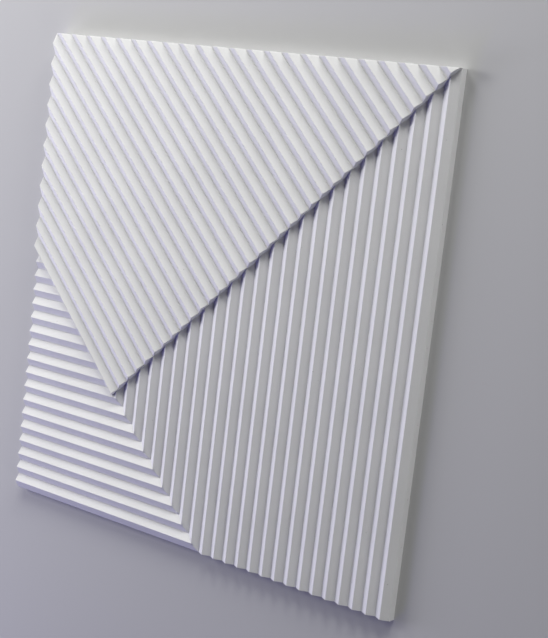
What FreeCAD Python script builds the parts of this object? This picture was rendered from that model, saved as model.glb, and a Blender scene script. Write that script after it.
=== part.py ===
"""Square cast gypsum wall panel with three fields of sharp parallel ribs.

The panel lies on its flat back. The origin is the centre of the back face,
+X is the panel's right, +Y its top and +Z comes out of the back through the
relief. All lengths are millimetres.

Field A, upper left, is raised. Its ribs run from upper left to lower right.
Field B, right, has ribs that stand along Y.
Field C, lower left, has ribs that lie along X.
"""
import FreeCAD
import Part
import math
import os

# Driving dimensions
PANEL_SIDE = 600.0          # outer side of the square
BASE_THICKNESS = 10.0       # back to the valleys of fields B and C
RIB_PITCH = 18.46           # crest to crest, the same in all three fields
RIB_HEIGHT = 5.7            # valley to crest
FIELD_RISE = 5.7            # valleys of field A above those of B and C
CREST_RADIUS = 0.6          # rounding of each crest
LEFT_RIBS = 11              # ribs of field A that reach the left side
LOW_RIBS = 15               # ribs of field B between the lower right corner and the mitre

# Derived
HALF = PANEL_SIDE / 2.0
VALLEY_Z = BASE_THICKNESS
CREST_Z = BASE_THICKNESS + RIB_HEIGHT
HIGH_VALLEY_Z = VALLEY_Z + FIELD_RISE
HIGH_CREST_Z = CREST_Z + FIELD_RISE
MITRE_FOOT = PANEL_SIDE - LOW_RIBS * RIB_PITCH     # where the mitre meets the bottom side
MITRE_HEAD = MITRE_FOOT / 2.0                      # where the mitre meets the step, along X and along Y
DIAGONAL = PANEL_SIDE / math.sqrt(2.0)             # upper left corner to the end of the step
LAST_CREST = (LEFT_RIBS - 0.5) * RIB_PITCH         # upper left corner to the lowest crest of field A


def crest_arc(before, apex, after, radius):
    """Tangent points and top of the rounding at one crest."""
    ax = before[0] - apex[0]
    az = before[1] - apex[1]
    bx = after[0] - apex[0]
    bz = after[1] - apex[1]
    la = math.hypot(ax, az)
    lb = math.hypot(bx, bz)
    ax, az, bx, bz = ax / la, az / la, bx / lb, bz / lb
    half_angle = 0.5 * math.acos(ax * bx + az * bz)
    reach = radius / math.tan(half_angle)
    depth = radius / math.sin(half_angle) - radius
    mx = ax + bx
    mz = az + bz
    lm = math.hypot(mx, mz)
    first = (apex[0] + ax * reach, apex[1] + az * reach)
    top = (apex[0] + mx / lm * depth, apex[1] + mz / lm * depth)
    last = (apex[0] + bx * reach, apex[1] + bz * reach)
    return first, top, last


def rib_section(ridge, place):
    """Closed face under a line of (distance, height, is_crest) points."""
    edges = []
    start = (ridge[0][0], 0.0)
    here = start
    count = len(ridge)
    for index in range(count):
        distance, height, is_crest = ridge[index]
        if is_crest:
            first, top, last = crest_arc(ridge[index - 1], ridge[index], ridge[index + 1], CREST_RADIUS)
            edges.append(Part.LineSegment(place(here), place(first)).toShape())
            edges.append(Part.Arc(place(first), place(top), place(last)).toShape())
            here = last
        else:
            edges.append(Part.LineSegment(place(here), place((distance, height))).toShape())
            here = (distance, height)
    end = (ridge[-1][0], 0.0)
    edges.append(Part.LineSegment(place(here), place(end)).toShape())
    edges.append(Part.LineSegment(place(end), place(start)).toShape())
    return Part.Face(Part.Wire(edges))


def zigzag(start, ribs, valley, crest):
    """Points of a run of equal ribs that begins and ends in a valley."""
    points = [(start, valley, False)]
    for rib in range(ribs):
        points.append((start + (rib + 0.5) * RIB_PITCH, crest, True))
        points.append((start + (rib + 1.0) * RIB_PITCH, valley, False))
    return points


def region(corners):
    """Upright block over the given plan corners, taller than the panel."""
    points = [FreeCAD.Vector(x - HALF, y - HALF, 0.0) for x, y in corners]
    points.append(points[0])
    return Part.Face(Part.makePolygon(points)).extrude(FreeCAD.Vector(0.0, 0.0, 2.0 * HIGH_CREST_Z))


def field_b():
    """Right field, ribs along Y, a valley on the right side."""
    ribs = math.ceil((PANEL_SIDE - MITRE_HEAD) / RIB_PITCH)
    left = PANEL_SIDE - ribs * RIB_PITCH
    section = rib_section(
        zigzag(left, ribs, VALLEY_Z, CREST_Z),
        lambda p: FreeCAD.Vector(p[0] - HALF, -HALF, p[1]),
    )
    block = section.extrude(FreeCAD.Vector(0.0, PANEL_SIDE, 0.0))
    side = PANEL_SIDE
    return block.common(region([(MITRE_FOOT, 0.0), (side, 0.0), (side, side), (MITRE_HEAD, MITRE_HEAD)]))


def field_c():
    """Lower left field, ribs along X, a valley on the bottom side.

    It runs on under the outer flank of field A as far as that flank's crest.
    """
    under_crest = PANEL_SIDE - LAST_CREST * math.sqrt(2.0)
    section = rib_section(
        zigzag(0.0, math.ceil(under_crest / RIB_PITCH), VALLEY_Z, CREST_Z),
        lambda p: FreeCAD.Vector(-HALF, p[0] - HALF, p[1]),
    )
    block = section.extrude(FreeCAD.Vector(PANEL_SIDE, 0.0, 0.0))
    step_point = under_crest / 2.0
    return block.common(
        region(
            [
                (0.0, 0.0),
                (MITRE_FOOT, 0.0),
                (MITRE_HEAD, MITRE_HEAD),
                (step_point, step_point),
                (0.0, under_crest),
            ]
        )
    )


def field_a():
    """Raised upper left field, ribs square to the step.

    Distances run from the upper left corner along the line of the step.
    The outer flank of the lowest rib goes on down to the valley level of
    field C.
    """
    first = -LEFT_RIBS * RIB_PITCH
    ribs = LEFT_RIBS + math.ceil(DIAGONAL / RIB_PITCH)
    points = zigzag(first, ribs, HIGH_VALLEY_Z, HIGH_CREST_Z)
    points[0] = (first, VALLEY_Z, False)
    along = math.sqrt(0.5)

    def place(p):
        return FreeCAD.Vector(
            -HALF + (p[0] - PANEL_SIDE) * along,
            HALF + (p[0] + PANEL_SIDE) * along,
            p[1],
        )

    section = rib_section(points, place)
    reach = 2.0 * PANEL_SIDE * along
    block = section.extrude(FreeCAD.Vector(reach, -reach, 0.0))
    side = PANEL_SIDE
    return block.common(region([(0.0, 0.0), (side, side), (0.0, side)]))


def wall_panel():
    """The whole panel as one solid."""
    shape = field_b().fuse([field_c(), field_a()]).removeSplitter()
    if len(shape.Solids) != 1:
        raise RuntimeError("the panel came out as %d solids" % len(shape.Solids))
    solid = shape.Solids[0]
    if not solid.isValid():
        raise RuntimeError("the panel is not a valid solid")
    return solid


def main():
    os.makedirs("parts", exist_ok=True)
    panel = wall_panel()
    panel.exportStep("parts/wall_panel.step")
    box = panel.BoundBox
    print("size %.2f x %.2f x %.2f mm" % (box.XLength, box.YLength, box.ZLength))
    print("volume %.0f mm3, %d faces" % (panel.Volume, len(panel.Faces)))


main()
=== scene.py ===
"""Looks of a square wall panel cast in white gypsum plaster, with a ribbed face.

The panel lies on its back with its face up. Lengths are metres in the packed
panel's frame: the origin is the centre of the back, +X is the panel's right,
+Y its top and +Z comes out of its face. Plan distances u and v run from the
lower left corner, to the right and up.
"""

import bisect
import math

import bmesh
import bpy
from mathutils import Euler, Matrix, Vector, noise


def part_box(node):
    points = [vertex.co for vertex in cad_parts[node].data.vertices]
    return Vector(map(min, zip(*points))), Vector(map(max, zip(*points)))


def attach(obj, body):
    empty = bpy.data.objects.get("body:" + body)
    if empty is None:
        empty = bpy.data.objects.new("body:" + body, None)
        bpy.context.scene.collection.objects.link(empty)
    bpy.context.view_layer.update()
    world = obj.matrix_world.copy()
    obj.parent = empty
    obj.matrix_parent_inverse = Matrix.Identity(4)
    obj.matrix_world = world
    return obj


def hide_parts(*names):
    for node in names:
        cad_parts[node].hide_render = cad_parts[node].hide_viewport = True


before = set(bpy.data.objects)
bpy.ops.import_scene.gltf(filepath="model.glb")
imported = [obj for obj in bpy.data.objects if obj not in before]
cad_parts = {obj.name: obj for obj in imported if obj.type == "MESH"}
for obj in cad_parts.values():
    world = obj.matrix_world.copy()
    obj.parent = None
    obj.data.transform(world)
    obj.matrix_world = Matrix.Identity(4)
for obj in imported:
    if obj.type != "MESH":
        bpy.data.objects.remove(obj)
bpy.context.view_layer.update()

# The casting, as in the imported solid
PANEL_LOW, PANEL_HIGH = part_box("wall_panel")
SIDE = PANEL_HIGH.x - PANEL_LOW.x
HALF = SIDE / 2.0
BASE_THICKNESS = 0.010
RIB_PITCH = 0.01846
RIB_HEIGHT = 0.0057
FIELD_RISE = 0.0057
CREST_RADIUS = 0.0006
LEFT_RIBS = 11
LOW_RIBS = 15

# What the mould and the screed leave
VALLEY_RADIUS = 0.0005
ARRIS_RADIUS = 0.0005
WAVE_HEIGHT = 0.00004
WAVE_LENGTH = 0.032
WAVE_LAYER = 3.7

# How close the points of the mesh lie, and how a rounded arris is divided
STATION = 0.005
STATION_CLEARANCE = 0.2
NEAREST = 0.0008
FLANK_STRIP = 0.0032
ARC_STEPS = 4
ARRIS_SHARES = (0.0, 0.12, 0.45, 1.0)
BACK_ARRIS = ((0.0, 1.0), (0.29, 0.29), (1.0, 0.0))

# What counts as nothing, how often a search halves its range, and where shading breaks, in degrees
NO_LENGTH = 1e-6
NO_SHARE = 1e-6
HALVINGS = 50
SHARP_ANGLE = 35.0

# Levels and lines that follow from the sizes
ROOT_TWO = math.sqrt(2.0)
CREST_Z = BASE_THICKNESS + RIB_HEIGHT
HIGH_VALLEY_Z = BASE_THICKNESS + FIELD_RISE
HIGH_CREST_Z = CREST_Z + FIELD_RISE
STEP_LENGTH = SIDE / ROOT_TWO
MITRE_FOOT = SIDE - LOW_RIBS * RIB_PITCH
MITRE_HEAD = MITRE_FOOT / 2.0
FLANK_FOOT = -LEFT_RIBS * RIB_PITCH
FLANK_CREST = FLANK_FOOT + 0.5 * RIB_PITCH
LOWEST_FLANK_Z = CREST_Z + 0.25 * RIB_HEIGHT
TIP_SEARCH_START = 0.8 * MITRE_HEAD
FULLY_ROUNDED_STEP = 4.0 * ARRIS_RADIUS

# A side counts as facing an axis when its normal has more than this along it
MOSTLY = 0.5

# Where each side of the casting lies on its flat map, as shares of the map
FACE_SHARE = 0.74
BACK_SHARE = 0.24
STRIP_START = 0.75
STRIP_SHARE = 0.04

# Colours of the plaster, and the painted shade that darkens its valleys
WHITE = (0.75, 0.75, 0.75)
GREY_WHITE = (0.725, 0.725, 0.725)
VALLEY_SHADE_WHITE = (0.68, 0.68, 0.675)
PORE_GREY = (0.52, 0.52, 0.515)
BACK_WHITE = (0.72, 0.715, 0.70)
BACK_GREY = (0.63, 0.625, 0.61)

# Clouds lie between two levels of noise, pores are sized in shares of their spacing
CLOUD_START = 0.3
CLOUD_END = 0.7
LEAST_PORE = 0.05
PORE_SPREAD = 0.10
PORE_BOTTOM = 0.5

# Bump heights are in this unit
MILLIMETRE = 0.001

# The face: painted shade in the valleys up to a share of the rib height, and less roughness where a
# cloud lies
VALLEY_SHADE_REACH = 0.10
VALLEY_SHADE_AMOUNT = 0.5
FACE_ROUGHNESS = 0.88
CLOUD_SMOOTHING = 0.06

# The back: drag marks of a straight edge, long along X, and what clouds and drag add to its tone
DRAG_SIZE = 0.0022
DRAG_STRETCH = (0.02, 1.0, 1.0)
DRAG_HEIGHT = 0.08
WIDE_DRAG_SIZE = 0.016
WIDE_DRAG_STRETCH = (0.05, 1.0, 1.0)
WIDE_DRAG_HEIGHT = 0.20
CLOUD_TONE = 0.6
DRAG_TONE = 0.4

# The studio
FLOOR_GREY = (0.5, 0.5, 0.5)
FLOOR_RADIUS = 1.4
FLOOR_SIDES = 128
BACKDROP_GREY = (0.55, 0.55, 0.57)
SHADE_COLOUR = (0.3, 0.3, 1.0)
SHADE_STRENGTH = 0.01

# The camera of the photograph: place in metres, turn in degrees, lens in millimetres
CAMERA_PLACE = (1.08689, 0.23392, 1.32025)
CAMERA_TURN = (-3.0066, 37.7781, 8.4105)
CAMERA_LENS = 81.58
CAMERA_REACH = 50.0


def rounded(points, radii):
    """A line of (distance, height) points with its inner corners rounded."""
    line = [points[0]]
    for before, corner, after, radius in zip(points, points[1:], points[2:], radii):
        back = Vector(before) - Vector(corner)
        on = Vector(after) - Vector(corner)
        back.normalize()
        on.normalize()
        half = 0.5 * math.acos(back.dot(on))
        middle = (back + on).normalized()
        centre = Vector(corner) + middle * (radius / math.sin(half))
        first = Vector(corner) + back * (radius / math.tan(half)) - centre
        last = Vector(corner) + on * (radius / math.tan(half)) - centre
        turn = math.pi - 2.0 * half
        for step in range(ARC_STEPS + 1):
            share = step / ARC_STEPS
            arm = first * math.sin((1.0 - share) * turn) + last * math.sin(share * turn)
            line.append(tuple(centre + arm / math.sin(turn)))
    line.append(points[-1])
    return line


def divided(line, longest):
    """The line with extra points, so that no piece of it is longer than asked."""
    finer = [line[0]]
    for start, end in zip(line, line[1:]):
        pieces = max(1, math.ceil((end[0] - start[0]) / longest - NO_SHARE))
        for piece in range(1, pieces + 1):
            share = piece / pieces
            finer.append((
                start[0] + (end[0] - start[0]) * share,
                start[1] + (end[1] - start[1]) * share,
            ))
    return finer


def height_on(line, distance):
    """Height of the line at a distance."""
    index = bisect.bisect_left(line, (distance,))
    index = min(max(index, 1), len(line) - 1)
    start, end = line[index - 1], line[index]
    share = (distance - start[0]) / (end[0] - start[0])
    return start[1] + (end[1] - start[1]) * share


def in_turn(first, second, points):
    """The two radii in turn, one for each inner corner of a line of points."""
    return [second if index % 2 else first for index in range(len(points) - 2)]


def low_section():
    """Section across the ribs of the two low fields, from an outer valley inwards."""
    points = []
    for half_rib in range(-1, 2 * math.ceil(SIDE / RIB_PITCH) + 2):
        points.append((
            half_rib * RIB_PITCH / 2.0,
            CREST_Z if half_rib % 2 else BASE_THICKNESS,
        ))
    return divided(rounded(points, in_turn(VALLEY_RADIUS, CREST_RADIUS, points)), FLANK_STRIP)


def high_section():
    """Section across the raised ribs, from the foot of the outer flank to the step's end."""
    points = [(FLANK_FOOT, BASE_THICKNESS)]
    half_rib = 1
    while points[-1][0] < STEP_LENGTH + RIB_PITCH:
        points.append((
            FLANK_FOOT + half_rib * RIB_PITCH / 2.0,
            HIGH_CREST_Z if half_rib % 2 else HIGH_VALLEY_Z,
        ))
        half_rib += 1
    return divided(rounded(points, in_turn(CREST_RADIUS, VALLEY_RADIUS, points)), FLANK_STRIP)


def fallen(distance):
    """How far a rounded arris lies below its sharp corner, at a distance from it."""
    if distance >= ARRIS_RADIUS:
        return 0.0
    reach = ARRIS_RADIUS - max(distance, 0.0)
    return ARRIS_RADIUS - math.sqrt(max(ARRIS_RADIUS ** 2 - reach ** 2, 0.0))


def unevenness(u, v):
    """The faint waves of a cast face, never above the mould."""
    place = Vector((u / WAVE_LENGTH, v / WAVE_LENGTH, WAVE_LAYER))
    return WAVE_HEIGHT * (noise.noise(place) - 1.0)


class Casting:
    """Points and faces of the panel while it is put together."""

    def __init__(self):
        self.points = []
        self.faces = []

    def point(self, u, v, z):
        """Adds a point as it is and gives its number."""
        self.points.append((u - HALF, v - HALF, z))
        return len(self.points) - 1

    def face_point(self, u, v, z, fall=0.0):
        """Adds a point of the ribbed face, lowered by a rounded outer arris or by more if asked."""
        fall = max(fall, fallen(min(u, v, SIDE - u, SIDE - v)))
        return self.point(u, v, z - fall + unevenness(u, v))

    def stitch(self, near, far):
        """Fills the strip between two rows of (distance, point number) pairs."""
        i = 0
        j = 0
        while i < len(near) - 1 or j < len(far) - 1:
            next_near = near[i + 1][0] if i + 1 < len(near) else math.inf
            next_far = far[j + 1][0] if j + 1 < len(far) else math.inf
            if abs(next_near - next_far) < NO_LENGTH:
                self.faces.append((near[i][1], far[j][1], far[j + 1][1], near[i + 1][1]))
                i += 1
                j += 1
            elif next_near < next_far:
                self.faces.append((near[i][1], far[j][1], near[i + 1][1]))
                i += 1
            else:
                self.faces.append((near[i][1], far[j][1], far[j + 1][1]))
                j += 1

    def stitch_all(self, rows):
        """Fills the strips between all neighbouring rows."""
        for near, far in zip(rows, rows[1:]):
            self.stitch(near, far)


def spread_out(marks, least=NO_LENGTH):
    """The marks in order, without those that lie too close after another."""
    kept = []
    for mark in sorted(marks):
        if not kept or mark - kept[-1] > least:
            kept.append(mark)
    return kept


def stations(start, end, start_slant=0.0, end_slant=0.0, between=None):
    """Where a row has its points.

    They lie close together on a rounded arris, and between on an even grid or
    on the marks given. A slant is a length along the row over its distance
    from the arris, and 0 where that end of the row has none.
    """
    low = start + ARRIS_RADIUS * start_slant
    high = end - ARRIS_RADIUS * end_slant
    marks = [start, end]
    if low < high:
        marks += [start + ARRIS_RADIUS * share * start_slant for share in ARRIS_SHARES]
        marks += [end - ARRIS_RADIUS * share * end_slant for share in ARRIS_SHARES]
        if between is None:
            first = math.ceil(low / STATION + STATION_CLEARANCE)
            last = math.floor(high / STATION - STATION_CLEARANCE)
            between = [index * STATION for index in range(first, last + 1)]
        marks += [mark for mark in between if low + NEAREST < mark < high - NEAREST]
    return spread_out(marks)


def flank_distance(z):
    """Distance along the step at which the outer flank of the raised field has a height."""
    share = (z - BASE_THICKNESS) / (HIGH_CREST_Z - BASE_THICKNESS)
    return FLANK_FOOT + 0.5 * RIB_PITCH * share


def flank_u(section, v):
    """How far right a level row runs before it meets the outer flank."""
    return SIDE + flank_distance(height_on(section, v)) * ROOT_TWO - v


def last_above(gap, low, high):
    """The place between two values up to which gap(place) stays above nothing."""
    for _ in range(HALVINGS):
        middle = 0.5 * (low + high)
        if gap(middle) > 0.0:
            low = middle
        else:
            high = middle
    return low


def cast_lower_left(casting, section):
    """The lower left field. Gives its rows, which run along u, and the levels they lie at."""
    tip_v = last_above(lambda v: flank_u(section, v) - v, TIP_SEARCH_START, MITRE_HEAD)
    side_v = last_above(lambda v: flank_u(section, v), MITRE_HEAD, SIDE)
    levels = [distance for distance, height in section if 0.0 <= distance < side_v]
    levels += [ARRIS_RADIUS * share for share in ARRIS_SHARES]
    levels = spread_out(levels + [tip_v, MITRE_HEAD, side_v])

    rows = {"below tip": [], "beside flank": [], "under step": []}
    for v in levels:
        z = height_on(section, v)
        if v < tip_v - NO_LENGTH:
            marks = stations(0.0, MITRE_FOOT - v, start_slant=1.0)
        elif v < tip_v + NO_LENGTH:
            marks = stations(0.0, tip_v, start_slant=1.0) + stations(tip_v, MITRE_FOOT - v)[1:]
        elif v < side_v:
            marks = stations(0.0, flank_u(section, v), start_slant=1.0)
        else:
            marks = [0.0]
        row = [(u, casting.face_point(u, v, z)) for u in marks]
        if v < tip_v + NO_LENGTH:
            rows["below tip"].append(row)
        else:
            rows["beside flank"].append(row)
        if tip_v + NO_LENGTH < v < MITRE_HEAD + NO_LENGTH:
            marks = stations(v, MITRE_FOOT - v)
            rows["under step"].append([(u, casting.face_point(u, v, z)) for u in marks])
    tip_row = rows["below tip"][-1]
    rows["beside flank"].insert(0, [pair for pair in tip_row if pair[0] < tip_v + NO_LENGTH])
    rows["under step"].insert(0, [pair for pair in tip_row if pair[0] > tip_v - NO_LENGTH])
    for group in rows.values():
        casting.stitch_all(group)
    return rows, levels


def cast_right(casting, section, levels):
    """The right field. Gives its rows, which run along v."""
    depth = SIDE - MITRE_HEAD
    across = [SIDE - distance for distance, height in section if 0.0 <= distance <= depth]
    across += [MITRE_FOOT - v for v in levels if v < MITRE_HEAD + NO_LENGTH]
    across += [SIDE - ARRIS_RADIUS * share for share in ARRIS_SHARES]
    rows = []
    for u in spread_out(across):
        z = height_on(section, SIDE - u)
        if u < MITRE_FOOT - NO_LENGTH:
            marks = stations(MITRE_FOOT - u, u)
        else:
            marks = stations(0.0, u, start_slant=1.0)
        rows.append([(v, casting.face_point(u, v, z)) for v in marks])
    casting.stitch_all(rows)
    return rows


def step_rounding(section, low, s):
    """The share of the full rounding that the step's arris has at a distance along it.

    It fades out where a valley of the raised field comes down to a crest below.
    """
    place = 0.5 * (SIDE + s * ROOT_TWO)
    from_border = place if place < MITRE_HEAD else SIDE - place
    step_height = height_on(section, s) - height_on(low, from_border)
    return min(1.0, step_height / FULLY_ROUNDED_STEP)


def cast_raised(casting, section, low, foot):
    """The raised field. Gives its rows, which run down to the step.

    The lowest row lies on the outer flank, just above the crests that meet it,
    and has its points where the foot of the flank has them.
    """
    lowest = flank_distance(LOWEST_FLANK_Z)
    levels = [distance for distance, height in section if lowest < distance < STEP_LENGTH]
    rows = []
    for s in spread_out(levels + [lowest, 0.0, STEP_LENGTH]):
        z = height_on(section, s)
        rounding = step_rounding(section, low, s)
        between = spread_out(foot, NEAREST) if s == lowest else None
        row = []
        for t in stations(abs(s) - STEP_LENGTH, 0.0, ROOT_TWO, end_slant=1.0, between=between):
            u = 0.5 * (SIDE + (s + t) * ROOT_TWO)
            v = 0.5 * (SIDE + (s - t) * ROOT_TWO)
            row.append((t, casting.face_point(u, v, z, fall=rounding * fallen(-t))))
        rows.append((s, row))
    casting.stitch_all([row for s, row in rows])
    return rows


def cast_back(casting):
    """The flat back and its rounded arris. Gives the foot corners, round from the lower left."""
    rings = []
    for inset, z in BACK_ARRIS:
        low = inset * ARRIS_RADIUS
        high = SIDE - low
        corners = ((low, low), (high, low), (high, high), (low, high))
        rings.append([casting.point(u, v, z * ARRIS_RADIUS) for u, v in corners])
    for outer, inner in zip(rings, rings[1:]):
        for corner in range(4):
            after = (corner + 1) % 4
            casting.faces.append((outer[corner], outer[after], inner[after], inner[corner]))
    casting.faces.append(rings[-1][::-1])
    return rings[0]


def cast_panel():
    """The whole casting as points and faces."""
    casting = Casting()
    low = low_section()
    low_rows, levels = cast_lower_left(casting, low)
    right_rows = cast_right(casting, low, levels)
    beside = low_rows["beside flank"]
    foot = [row[-1][1] for row in reversed(beside)]
    foot_row = [((casting.points[n][0] - casting.points[n][1]) / ROOT_TWO, n) for n in foot]
    raised_rows = cast_raised(casting, high_section(), low, [mark for mark, n in foot_row])
    casting.stitch(foot_row, raised_rows[0][1])

    left_up = [row[0][1] for row in low_rows["below tip"] + beside[1:]]
    left_up += [row[0][1] for s, row in raised_rows if s < NO_LENGTH]
    along_top = [row[0][1] for s, row in raised_rows if s > -NO_LENGTH] + [right_rows[-1][-1][1]]
    right_up = [number for v, number in right_rows[-1]]
    along_bottom = [number for u, number in low_rows["below tip"][0]]
    along_bottom += [row[0][1] for row in right_rows if row[0][0] < NO_LENGTH]
    step_foot = [row[0][1] for row in low_rows["under step"]] + [row[-1][1] for row in right_rows]
    step_top = [row[-1][1] for s, row in raised_rows]
    casting.faces.append(step_foot + step_top[::-1])

    lower_left, lower_right, upper_right, upper_left = cast_back(casting)
    casting.faces.append([upper_left, lower_left] + left_up)
    casting.faces.append([upper_right, upper_left] + along_top)
    casting.faces.append([lower_right, upper_right] + right_up[::-1])
    casting.faces.append([lower_left, lower_right] + along_bottom[::-1])
    return casting


def place_on_map(normal, u, v, z):
    """Where a corner of a face lies on the flat map, by the side of the casting it is on."""
    scale = FACE_SHARE / SIDE
    if normal.z > MOSTLY:
        return u * scale, v * scale
    if normal.z < -MOSTLY:
        return 1.0 - BACK_SHARE * u / SIDE, BACK_SHARE * v / SIDE
    if normal.x > MOSTLY and normal.y < -MOSTLY:
        along, strip = (u + v - MITRE_HEAD) / ROOT_TWO, 0
    elif abs(normal.x) > abs(normal.y):
        along, strip = v, 1 if normal.x > 0.0 else 2
    else:
        along, strip = u, 3 if normal.y > 0.0 else 4
    return along * scale, STRIP_START + strip * STRIP_SHARE + z * scale


def lay_on_map(shape):
    """Gives each face its place on the map, and the back its own material number."""
    layer = shape.loops.layers.uv.new("OFBake")
    for face in shape.faces:
        for loop in face.loops:
            x, y, z = loop.vert.co
            loop[layer].uv = place_on_map(face.normal, x + HALF, y + HALF, z)
        face.material_index = 1 if face.normal.z < -MOSTLY else 0


def note_rib_share(shape):
    """Notes how far up its rib each corner of the face lies: 0 in a valley, 1 on a crest."""
    layer = shape.loops.layers.float.new("rib_share")
    for face in shape.faces:
        centre = face.calc_center_median()
        along_step = (centre.x + centre.y) / ROOT_TWO
        is_raised = centre.y > centre.x and along_step > FLANK_CREST
        valley = HIGH_VALLEY_Z if is_raised else BASE_THICKNESS
        for loop in face.loops:
            share = (loop.vert.co.z - valley) / RIB_HEIGHT
            loop[layer] = share if face.normal.z > MOSTLY else 1.0


def panel_object(casting):
    """The casting as one closed, smoothly shaded mesh object."""
    mesh = bpy.data.meshes.new("ribbed_casting")
    mesh.from_pydata(casting.points, [], casting.faces)
    shape = bmesh.new()
    shape.from_mesh(mesh)
    bmesh.ops.remove_doubles(shape, verts=shape.verts, dist=2.0 * NO_LENGTH)
    bmesh.ops.recalc_face_normals(shape, faces=shape.faces)
    open_edges = [edge for edge in shape.edges if not edge.is_manifold]
    if open_edges:
        raise RuntimeError("the casting has %d open edges" % len(open_edges))
    lay_on_map(shape)
    note_rib_share(shape)
    shape.to_mesh(mesh)
    shape.free()
    mesh.shade_smooth()
    mesh.set_sharp_from_angle(angle=math.radians(SHARP_ANGLE))
    panel = bpy.data.objects.new("ribbed_casting", mesh)
    bpy.context.scene.collection.objects.link(panel)
    weighted = panel.modifiers.new("flat_flanks", "WEIGHTED_NORMAL")
    weighted.keep_sharp = True
    return panel


def feed(tree, source, target):
    """Links an output to an input, or sets the input where the source is a number."""
    if isinstance(source, (int, float)):
        target.default_value = source
    else:
        tree.links.new(source, target)


def math_node(tree, operation, first, second, third=0.0):
    """The result of one sum on two or three values."""
    node = tree.nodes.new("ShaderNodeMath")
    node.operation = operation
    for target, source in zip(node.inputs, (first, second, third)):
        feed(tree, source, target)
    return node.outputs["Value"]


def ramp_between(tree, value, start, end):
    """A smooth rise from 0 to 1 while the value goes from start to end."""
    node = tree.nodes.new("ShaderNodeMapRange")
    node.interpolation_type = "SMOOTHSTEP"
    feed(tree, value, node.inputs["Value"])
    feed(tree, start, node.inputs["From Min"])
    feed(tree, end, node.inputs["From Max"])
    return node.outputs["Result"]


def noise_of_size(tree, position, size, detail, stretch=None):
    """Cloudy noise from 0 to 1 whose lumps have about the given size in metres."""
    if stretch:
        scaled = tree.nodes.new("ShaderNodeVectorMath")
        scaled.operation = "MULTIPLY"
        scaled.inputs[1].default_value = stretch
        tree.links.new(position, scaled.inputs[0])
        position = scaled.outputs["Vector"]
    node = tree.nodes.new("ShaderNodeTexNoise")
    node.inputs["Detail"].default_value = detail
    tree.links.new(position, node.inputs["Vector"])
    feed(tree, math_node(tree, "DIVIDE", 1.0, size), node.inputs["Scale"])
    return node.outputs["Fac"]


def mixed(tree, share, start, end):
    """A colour between two, by share."""
    node = tree.nodes.new("ShaderNodeMix")
    node.data_type = "RGBA"
    tree.links.new(share, node.inputs["Factor"])
    for name, colour in (("A", start), ("B", end)):
        target = [entry for entry in node.inputs if entry.name == name and entry.type == "RGBA"][0]
        if isinstance(colour, tuple):
            target.default_value = (*colour, 1.0)
        else:
            tree.links.new(colour, target)
    return [entry for entry in node.outputs if entry.type == "RGBA"][0]


def plaster_grain_group():
    """Set gypsum: fine grain, soft unevenness, cloudy tone and small air pores.

    Sizes go in as metres and heights as millimetres. Height comes out in
    millimetres, Cloud and Pores from 0 to 1.
    """
    group = bpy.data.node_groups.new("plaster_grain", "ShaderNodeTree")
    sockets = group.interface
    sockets.new_socket(name="Position", in_out="INPUT", socket_type="NodeSocketVector")
    for name in ("Grain Size", "Grain Height", "Lump Size", "Lump Height", "Cloud Size",
                 "Pore Spacing", "Pore Share", "Pore Depth"):
        sockets.new_socket(name=name, in_out="INPUT", socket_type="NodeSocketFloat")
    for name in ("Height", "Cloud", "Pores"):
        sockets.new_socket(name=name, in_out="OUTPUT", socket_type="NodeSocketFloat")

    inlet = group.nodes.new("NodeGroupInput").outputs
    outlet = group.nodes.new("NodeGroupOutput").inputs
    grain = noise_of_size(group, inlet["Position"], inlet["Grain Size"], detail=3.0)
    lump = noise_of_size(group, inlet["Position"], inlet["Lump Size"], detail=2.0)
    cloud = noise_of_size(group, inlet["Position"], inlet["Cloud Size"], detail=4.0)

    cells = group.nodes.new("ShaderNodeTexVoronoi")
    group.links.new(inlet["Position"], cells.inputs["Vector"])
    feed(group, math_node(group, "DIVIDE", 1.0, inlet["Pore Spacing"]), cells.inputs["Scale"])
    chance = group.nodes.new("ShaderNodeSeparateColor")
    group.links.new(cells.outputs["Color"], chance.inputs["Color"])
    has_pore = math_node(group, "LESS_THAN", chance.outputs["Red"], inlet["Pore Share"])
    radius = math_node(group, "MULTIPLY_ADD", chance.outputs["Green"], PORE_SPREAD, LEAST_PORE)
    bottom = math_node(group, "MULTIPLY", radius, PORE_BOTTOM)
    hollow = ramp_between(group, cells.outputs["Distance"], radius, bottom)
    pores = math_node(group, "MULTIPLY", hollow, has_pore)

    raised = math_node(group, "MULTIPLY", grain, inlet["Grain Height"])
    raised = math_node(group, "MULTIPLY_ADD", lump, inlet["Lump Height"], raised)
    sunk = math_node(group, "MULTIPLY", pores, inlet["Pore Depth"])
    group.links.new(math_node(group, "SUBTRACT", raised, sunk), outlet["Height"])
    group.links.new(ramp_between(group, cloud, CLOUD_START, CLOUD_END), outlet["Cloud"])
    group.links.new(pores, outlet["Pores"])
    return group


def new_material(name):
    """An empty material with its surface node, and the position on the object."""
    material = bpy.data.materials.new(name)
    material.use_nodes = True
    tree = material.node_tree
    surface = tree.nodes["Principled BSDF"]
    position = tree.nodes.new("ShaderNodeTexCoord").outputs["Object"]
    return material, tree, surface, position


def grain_node(tree, grain, position, **amounts):
    """The plaster grain with one material's own amounts."""
    node = tree.nodes.new("ShaderNodeGroup")
    node.node_tree = grain
    tree.links.new(position, node.inputs["Position"])
    for name, amount in amounts.items():
        node.inputs[name.replace("_", " ").title()].default_value = amount
    return node.outputs


def roughen(tree, surface, height):
    """Turns a height in millimetres into the surface's normal."""
    bump = tree.nodes.new("ShaderNodeBump")
    bump.inputs["Strength"].default_value = 1.0
    bump.inputs["Distance"].default_value = MILLIMETRE
    tree.links.new(height, bump.inputs["Height"])
    tree.links.new(bump.outputs["Normal"], surface.inputs["Normal"])


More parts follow.
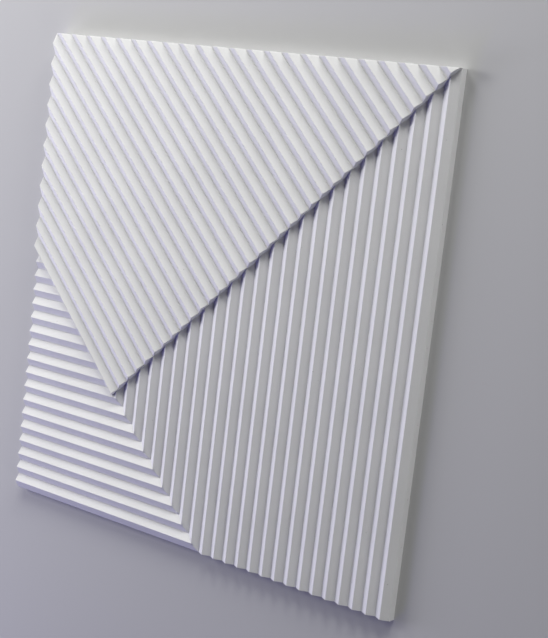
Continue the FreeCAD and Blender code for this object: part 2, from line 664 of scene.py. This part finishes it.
def set_finish(tree, surface, sheen, roughness):
    """Sets how much a surface reflects and how rough it is."""
    surface.inputs["Specular IOR Level"].default_value = sheen
    feed(tree, roughness, surface.inputs["Roughness"])


def cast_plaster(grain):
    """The face and sides: hard white plaster, smooth from the mould, with painted shade in the
    valleys of the ribs.
    """
    material, tree, surface, position = new_material("cast_plaster")
    own = grain_node(tree, grain, position, grain_size=0.0014, grain_height=0.14,
                     lump_size=0.007, lump_height=0.03, cloud_size=0.07,
                     pore_spacing=0.006, pore_share=0.05, pore_depth=0.15)
    share = tree.nodes.new("ShaderNodeAttribute")
    share.attribute_name = "rib_share"
    colour = mixed(tree, own["Cloud"], GREY_WHITE, WHITE)
    # Painted shade: the base colour darkens towards the bottom of each valley, where shade falls
    # between the ribs
    in_valley = ramp_between(tree, share.outputs["Fac"], VALLEY_SHADE_REACH, 0.0)
    valley_shade = math_node(tree, "MULTIPLY", in_valley, VALLEY_SHADE_AMOUNT)
    colour = mixed(tree, valley_shade, colour, VALLEY_SHADE_WHITE)
    colour = mixed(tree, own["Pores"], colour, PORE_GREY)
    tree.links.new(colour, surface.inputs["Base Color"])
    smoother = math_node(tree, "MULTIPLY", own["Cloud"], CLOUD_SMOOTHING)
    roughness = math_node(tree, "SUBTRACT", FACE_ROUGHNESS, smoother)
    set_finish(tree, surface, sheen=0.2, roughness=roughness)
    roughen(tree, surface, own["Height"])
    return material


def screeded_plaster(grain):
    """The back: the open side of the mould, struck off with a straight edge."""
    material, tree, surface, position = new_material("screeded_plaster")
    own = grain_node(tree, grain, position, grain_size=0.0009, grain_height=0.05,
                     lump_size=0.012, lump_height=0.10, cloud_size=0.11,
                     pore_spacing=0.010, pore_share=0.16, pore_depth=0.5)
    drag = noise_of_size(tree, position, DRAG_SIZE, detail=3.0, stretch=DRAG_STRETCH)
    wide_drag = noise_of_size(
        tree, position, WIDE_DRAG_SIZE, detail=2.0, stretch=WIDE_DRAG_STRETCH)
    cloud_tone = math_node(tree, "MULTIPLY", own["Cloud"], CLOUD_TONE)
    tone = math_node(tree, "MULTIPLY_ADD", wide_drag, DRAG_TONE, cloud_tone)
    colour = mixed(tree, tone, BACK_GREY, BACK_WHITE)
    colour = mixed(tree, own["Pores"], colour, PORE_GREY)
    tree.links.new(colour, surface.inputs["Base Color"])
    set_finish(tree, surface, sheen=0.15, roughness=0.94)
    height = math_node(tree, "MULTIPLY_ADD", drag, DRAG_HEIGHT, own["Height"])
    height = math_node(tree, "MULTIPLY_ADD", wide_drag, WIDE_DRAG_HEIGHT, height)
    roughen(tree, surface, height)
    return material


def plain_floor():
    """The studio floor: one pale matt grey."""
    material = bpy.data.materials.new("studio_floor")
    material.use_nodes = True
    surface = material.node_tree.nodes["Principled BSDF"]
    surface.inputs["Base Color"].default_value = (*FLOOR_GREY, 1.0)
    set_finish(material.node_tree, surface, sheen=0.1, roughness=0.95)
    return material


def softbox(name, bearing, height, distance, width, watts):
    """A square soft lamp that faces the middle of the panel.

    Bearing is in degrees from the panel's right towards its top, height in
    degrees above the floor, distance and width in metres, and watts for red,
    green and blue.
    """
    lamp = bpy.data.lights.new(name, "AREA")
    lamp.shape = "SQUARE"
    lamp.size = width
    lamp.energy = max(watts)
    lamp.color = [share / max(watts) for share in watts]
    box = bpy.data.objects.new(name, lamp)
    away = Vector((distance, 0.0, 0.0))
    away.rotate(Euler((0.0, -math.radians(height), math.radians(bearing)), "XYZ"))
    box.location = away
    box.rotation_euler = (-away).to_track_quat("-Z", "Y").to_euler()
    bpy.context.scene.collection.objects.link(box)


def lay_floor():
    """The pale round floor that the panel lies on."""
    mesh = bpy.data.meshes.new("floor")
    turns = [math.tau * side / FLOOR_SIDES for side in range(FLOOR_SIDES)]
    rim = [(FLOOR_RADIUS * math.cos(turn), FLOOR_RADIUS * math.sin(turn), 0.0) for turn in turns]
    mesh.from_pydata(rim, [], [tuple(range(FLOOR_SIDES))])
    floor = bpy.data.objects.new("floor", mesh)
    bpy.context.scene.collection.objects.link(floor)
    mesh.materials.append(plain_floor())


def place_camera():
    """The camera of the photograph, as fitted to the panel's outline and rib ends."""
    lens = bpy.data.cameras.new("camera")
    lens.lens = CAMERA_LENS
    lens.clip_end = CAMERA_REACH
    camera = bpy.data.objects.new("camera", lens)
    camera.location = CAMERA_PLACE
    camera.rotation_euler = Euler([math.radians(turn) for turn in CAMERA_TURN], "XYZ")
    bpy.context.scene.collection.objects.link(camera)
    bpy.context.scene.camera = camera


def light_panel():
    """Soft lamps round the panel, strongest from its top, and a lilac one from the lower left."""
    softbox("near_top", bearing=105, height=32, distance=1.5, width=0.5, watts=(7.2, 7.2, 7.1))
    softbox("near_left", bearing=165, height=32, distance=2.2, width=0.7, watts=(22.0, 22.0, 21.7))
    softbox("top", bearing=75, height=24, distance=3.2, width=0.9, watts=(37.0, 37.0, 36.2))
    softbox("upper_right", bearing=60, height=10, distance=3.2, width=0.9, watts=(34.5, 34.5, 34.0))
    softbox("lower_right", bearing=330, height=18, distance=3.2, width=0.9, watts=(14.0, 14.0, 13.8))
    softbox("left", bearing=195, height=18, distance=2.0, width=0.6, watts=(14.0, 13.5, 16.6))
    softbox("lilac", bearing=240, height=24, distance=3.0, width=0.7, watts=(2.5, 2.0, 14.0))


def surround():
    """Weak light from all round, and a plain pale backdrop where one looks past the floor."""
    world = bpy.data.worlds.new("studio")
    world.use_nodes = True
    tree = world.node_tree
    weak = tree.nodes["Background"]
    weak.inputs["Color"].default_value = (*SHADE_COLOUR, 1.0)
    weak.inputs["Strength"].default_value = SHADE_STRENGTH
    backdrop = tree.nodes.new("ShaderNodeBackground")
    backdrop.inputs["Color"].default_value = (*BACKDROP_GREY, 1.0)
    backdrop.inputs["Strength"].default_value = 1.0
    ray = tree.nodes.new("ShaderNodeLightPath").outputs
    seen = math_node(tree, "MAXIMUM", ray["Is Camera Ray"], ray["Is Glossy Ray"])
    seen = math_node(tree, "MAXIMUM", seen, ray["Is Transmission Ray"])
    choice = tree.nodes.new("ShaderNodeMixShader")
    tree.links.new(seen, choice.inputs["Fac"])
    tree.links.new(weak.outputs["Background"], choice.inputs[1])
    tree.links.new(backdrop.outputs["Background"], choice.inputs[2])
    tree.links.new(choice.outputs["Shader"], tree.nodes["World Output"].inputs["Surface"])
    bpy.context.scene.world = world


bpy.context.scene.view_settings.view_transform = "Standard"
place_camera()
panel = panel_object(cast_panel())
plaster_grain = plaster_grain_group()
panel.data.materials.append(cast_plaster(plaster_grain))
panel.data.materials.append(screeded_plaster(plaster_grain))
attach(panel, "root")
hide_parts("wall_panel")
lay_floor()
light_panel()
surround()
